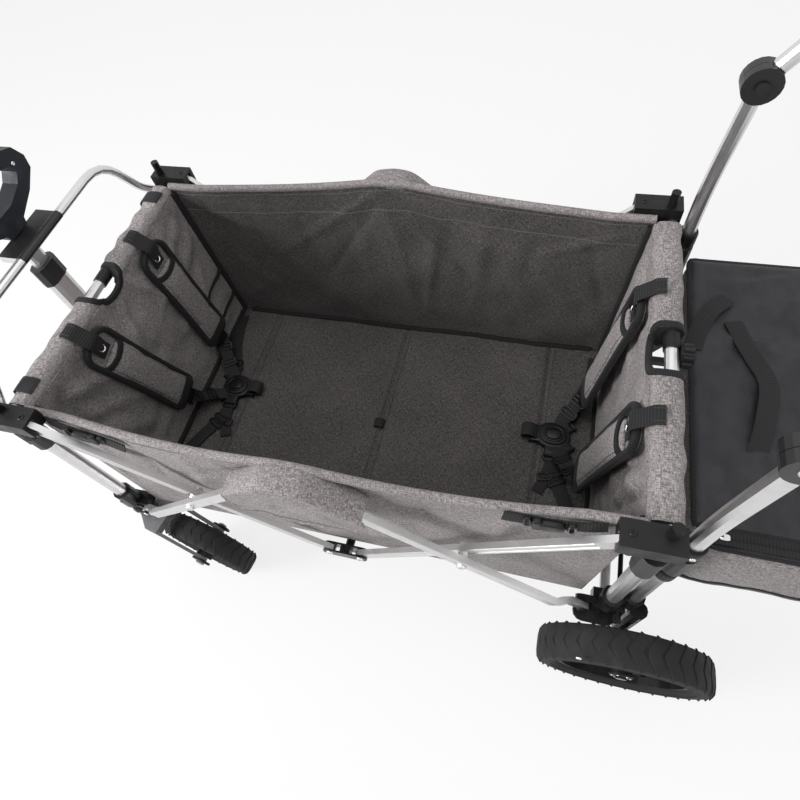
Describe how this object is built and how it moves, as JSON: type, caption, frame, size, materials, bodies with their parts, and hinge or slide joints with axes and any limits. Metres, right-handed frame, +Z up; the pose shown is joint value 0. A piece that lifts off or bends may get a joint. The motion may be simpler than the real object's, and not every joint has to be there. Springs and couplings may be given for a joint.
{
  "type": "folding wagon",
  "caption": "Fold-flat wagon: fabric basket in a scissor-arm aluminium frame, swivelling front casters, large rear wheels, pull handle, push bar and harness pads.",
  "frame": {"origin": "centre of the bounding box on the ground, under the basket", "axes": "+X to the push-bar end, +Z up, +Y to the far side, across the basket"},
  "size_m": [1.2224, 0.674, 1.0422],
  "materials": {
    "aluminium": "satin anodised tube, with grooves along the flat bars",
    "black_plastic": "fine-grained moulded",
    "grey_metal": "satin",
    "grey_fabric": "melange weave, bound in black",
    "black_fabric": "woven nylon with a slight sheen",
    "tyre": "matt foam rubber with a chevron tread",
    "foam": "matt foam sleeve"
  },
  "bodies": {
    "rear_frame": {"rear_post_near": "aluminium", "rear_post_far": "aluminium", "rear_socket_near": "black_plastic", "rear_socket_far": "black_plastic", "rear_cross_tube": "aluminium", "push_leg_near": "aluminium", "push_leg_far": "aluminium", "storage_bag": "black_fabric"},
    "rear_top": {"rear_bracket_near": "black_plastic", "rear_bracket_far": "black_plastic", "rear_top_tube": "aluminium", "rear_wall": "grey_fabric", "rear_pad_near": "grey_fabric", "rear_pad_far": "grey_fabric", "rear_buckle": "black_plastic"},
    "front_top": {"front_bracket_near": "black_plastic", "front_bracket_far": "black_plastic", "front_top_tube": "aluminium", "front_wall": "grey_fabric", "front_pad_near": "grey_fabric", "front_pad_far": "grey_fabric", "front_buckle": "black_plastic"},
    "front_frame": {"front_post_near": "aluminium", "front_post_far": "aluminium", "front_socket_near": "black_plastic", "front_socket_far": "black_plastic", "front_cross_tube": "aluminium", "front_hoop": "aluminium"},
    "centre_bottom": {"bottom_cross_tube": "aluminium", "basket_floor": "grey_fabric", "basket_side_near": "grey_fabric", "basket_side_far": "grey_fabric"},
    "knob": {"tube_knob": "black_plastic"},
    "push_bar": {"push_bar": "aluminium", "push_grip": "foam"},
    "brake_bar": {"brake_bar": "black_plastic"},
    "pull_handle": {"draw_tube": "aluminium"},
    "handle_stem": {"draw_stem": "aluminium", "handle_grip": "black_plastic"},
    "m_arm_rear_near": {"m_arm_rear_near": "aluminium"},
    "v_arm_rear_near": {"v_arm_rear_near": "aluminium"},
    "m_arm_front_near": {"m_arm_front_near": "aluminium"},
    "v_arm_front_near": {"v_arm_front_near": "aluminium"},
    "top_joint_near": {"top_joint_near": "black_plastic"},
    "rear_wheel_near": {"rear_tyre_near": "tyre", "rear_rim_near": "black_plastic"},
    "caster_near": {"caster_fork_near": "grey_metal"},
    "front_wheel_near": {"front_tyre_near": "tyre", "front_rim_near": "black_plastic"},
    "m_arm_rear_far": {"m_arm_rear_far": "aluminium"},
    "v_arm_rear_far": {"v_arm_rear_far": "aluminium"},
    "m_arm_front_far": {"m_arm_front_far": "aluminium"},
    "v_arm_front_far": {"v_arm_front_far": "aluminium"},
    "top_joint_far": {"top_joint_far": "black_plastic"},
    "rear_wheel_far": {"rear_tyre_far": "tyre", "rear_rim_far": "black_plastic"},
    "caster_far": {"caster_fork_far": "grey_metal"},
    "front_wheel_far": {"front_tyre_far": "tyre", "front_rim_far": "black_plastic"}
  },
  "joints": [
    {"name": "fold", "type": "hinge", "parent": "rear_frame", "child": "m_arm_rear_near", "pos_m": [0.30685, -0.2605, 0.26], "axis": [0, 1, 0], "range_deg": [0, 32], "deforming": ["basket_floor", "basket_side_near", "basket_side_far"]},
    {"name": "m_rear_far_foot", "type": "hinge", "parent": "rear_frame", "child": "m_arm_rear_far", "pos_m": [0.30685, 0.2605, 0.26], "axis": [0, 1, 0], "range_deg": [0, 32]},
    {"name": "rear_crossing_near", "type": "hinge", "parent": "m_arm_rear_near", "child": "v_arm_rear_near", "pos_m": [0.1236, -0.256, 0.43], "axis": [0, 1, 0], "range_deg": [-64, 0]},
    {"name": "top_joint_rear_near", "type": "hinge", "parent": "m_arm_rear_near", "child": "top_joint_near", "pos_m": [-0.05965, -0.273, 0.6], "axis": [0, 1, 0], "range_deg": [-32, 0]},
    {"name": "rear_crossing_far", "type": "hinge", "parent": "m_arm_rear_far", "child": "v_arm_rear_far", "pos_m": [0.1236, 0.256, 0.43], "axis": [0, 1, 0], "range_deg": [-64, 0]},
    {"name": "top_joint_rear_far", "type": "hinge", "parent": "m_arm_rear_far", "child": "top_joint_far", "pos_m": [-0.05965, 0.273, 0.6], "axis": [0, 1, 0], "range_deg": [-32, 0]},
    {"name": "top_joint_front_far", "type": "hinge", "parent": "top_joint_far", "child": "m_arm_front_far", "pos_m": [-0.11465, 0.273, 0.6], "axis": [0, 1, 0], "range_deg": [-32, 0]},
    {"name": "front_crossing_far", "type": "hinge", "parent": "m_arm_front_far", "child": "v_arm_front_far", "pos_m": [-0.2979, 0.256, 0.43], "axis": [0, 1, 0], "range_deg": [0, 64]},
    {"name": "rear_top_corner", "type": "hinge", "parent": "v_arm_rear_near", "child": "rear_top", "pos_m": [0.30685, -0.256, 0.6], "axis": [0, 1, 0], "range_deg": [0, 32]},
    {"name": "bottom_joint_rear", "type": "hinge", "parent": "v_arm_rear_near", "child": "centre_bottom", "pos_m": [-0.05965, -0.256, 0.26], "axis": [0, 1, 0], "range_deg": [0, 32]},
    {"name": "bottom_joint_front", "type": "hinge", "parent": "centre_bottom", "child": "v_arm_front_near", "pos_m": [-0.11465, -0.256, 0.26], "axis": [0, 1, 0], "range_deg": [0, 32]},
    {"name": "front_crossing_near", "type": "hinge", "parent": "v_arm_front_near", "child": "m_arm_front_near", "pos_m": [-0.2979, -0.256, 0.43], "axis": [0, 1, 0], "range_deg": [-64, 0]},
    {"name": "front_foot", "type": "hinge", "parent": "m_arm_front_near", "child": "front_frame", "pos_m": [-0.48115, -0.2605, 0.26], "axis": [0, 1, 0], "range_deg": [0, 32]},
    {"name": "front_top_corner", "type": "hinge", "parent": "v_arm_front_near", "child": "front_top", "pos_m": [-0.48115, -0.256, 0.6], "axis": [0, 1, 0], "range_deg": [-32, 0]},
    {"name": "caster_near_swivel", "type": "hinge", "parent": "front_frame", "child": "caster_near", "pos_m": [-0.51715, -0.247, 0.219], "axis": [0, 0, 1], "continuous": true},
    {"name": "front_wheel_near_spin", "type": "hinge", "parent": "caster_near", "child": "front_wheel_near", "pos_m": [-0.41899, -0.26608, 0.098], "axis": [0.1908, 0.9816, 0], "continuous": true},
    {"name": "rear_wheel_near_spin", "type": "hinge", "parent": "rear_frame", "child": "rear_wheel_near", "pos_m": [0.39085, -0.309, 0.138], "axis": [0, 1, 0], "continuous": true},
    {"name": "caster_far_swivel", "type": "hinge", "parent": "front_frame", "child": "caster_far", "pos_m": [-0.51715, 0.247, 0.219], "axis": [0, 0, 1], "continuous": true},
    {"name": "front_wheel_far_spin", "type": "hinge", "parent": "caster_far", "child": "front_wheel_far", "pos_m": [-0.41838, 0.26264, 0.098], "axis": [-0.1564, 0.9877, 0], "continuous": true},
    {"name": "rear_wheel_far_spin", "type": "hinge", "parent": "rear_frame", "child": "rear_wheel_far", "pos_m": [0.39085, 0.309, 0.138], "axis": [0, 1, 0], "continuous": true},
    {"name": "brake_press", "type": "hinge", "parent": "rear_frame", "child": "brake_bar", "pos_m": [0.36185, 0, 0.25], "axis": [0, 1, 0], "range_deg": [-20, 0]},
    {"name": "push_bar_tilt", "type": "hinge", "parent": "rear_frame", "child": "push_bar", "pos_m": [0.38685, 0, 0.805], "axis": [0, 1, 0], "range_deg": [-60, 75]},
    {"name": "pull_handle_swing", "type": "hinge", "parent": "front_frame", "child": "pull_handle", "pos_m": [-0.59715, 0, 0.248], "axis": [0, 1, 0], "range_deg": [-100, 0]},
    {"name": "pull_handle_draw", "type": "slide", "parent": "pull_handle", "child": "handle_stem", "axis": [0, 0, 1], "range_m": [0, 0.25]},
    {"name": "knob_turn", "type": "hinge", "parent": "rear_top", "child": "knob", "pos_m": [0.34885, 0, 0.588], "axis": [1, 0, 0], "continuous": true}
  ],
  "couplings": [
    {"joint": "m_rear_far_foot", "follows": "fold", "ratio": 1},
    {"joint": "rear_crossing_near", "follows": "fold", "ratio": -2},
    {"joint": "top_joint_rear_near", "follows": "fold", "ratio": -1},
    {"joint": "rear_crossing_far", "follows": "fold", "ratio": -2},
    {"joint": "top_joint_rear_far", "follows": "fold", "ratio": -1},
    {"joint": "top_joint_front_far", "follows": "fold", "ratio": -1},
    {"joint": "front_crossing_far", "follows": "fold", "ratio": 2},
    {"joint": "rear_top_corner", "follows": "fold", "ratio": 1},
    {"joint": "bottom_joint_rear", "follows": "fold", "ratio": 1},
    {"joint": "bottom_joint_front", "follows": "fold", "ratio": 1},
    {"joint": "front_crossing_near", "follows": "fold", "ratio": -2},
    {"joint": "front_foot", "follows": "fold", "ratio": 1},
    {"joint": "front_top_corner", "follows": "fold", "ratio": -1}
  ]
}
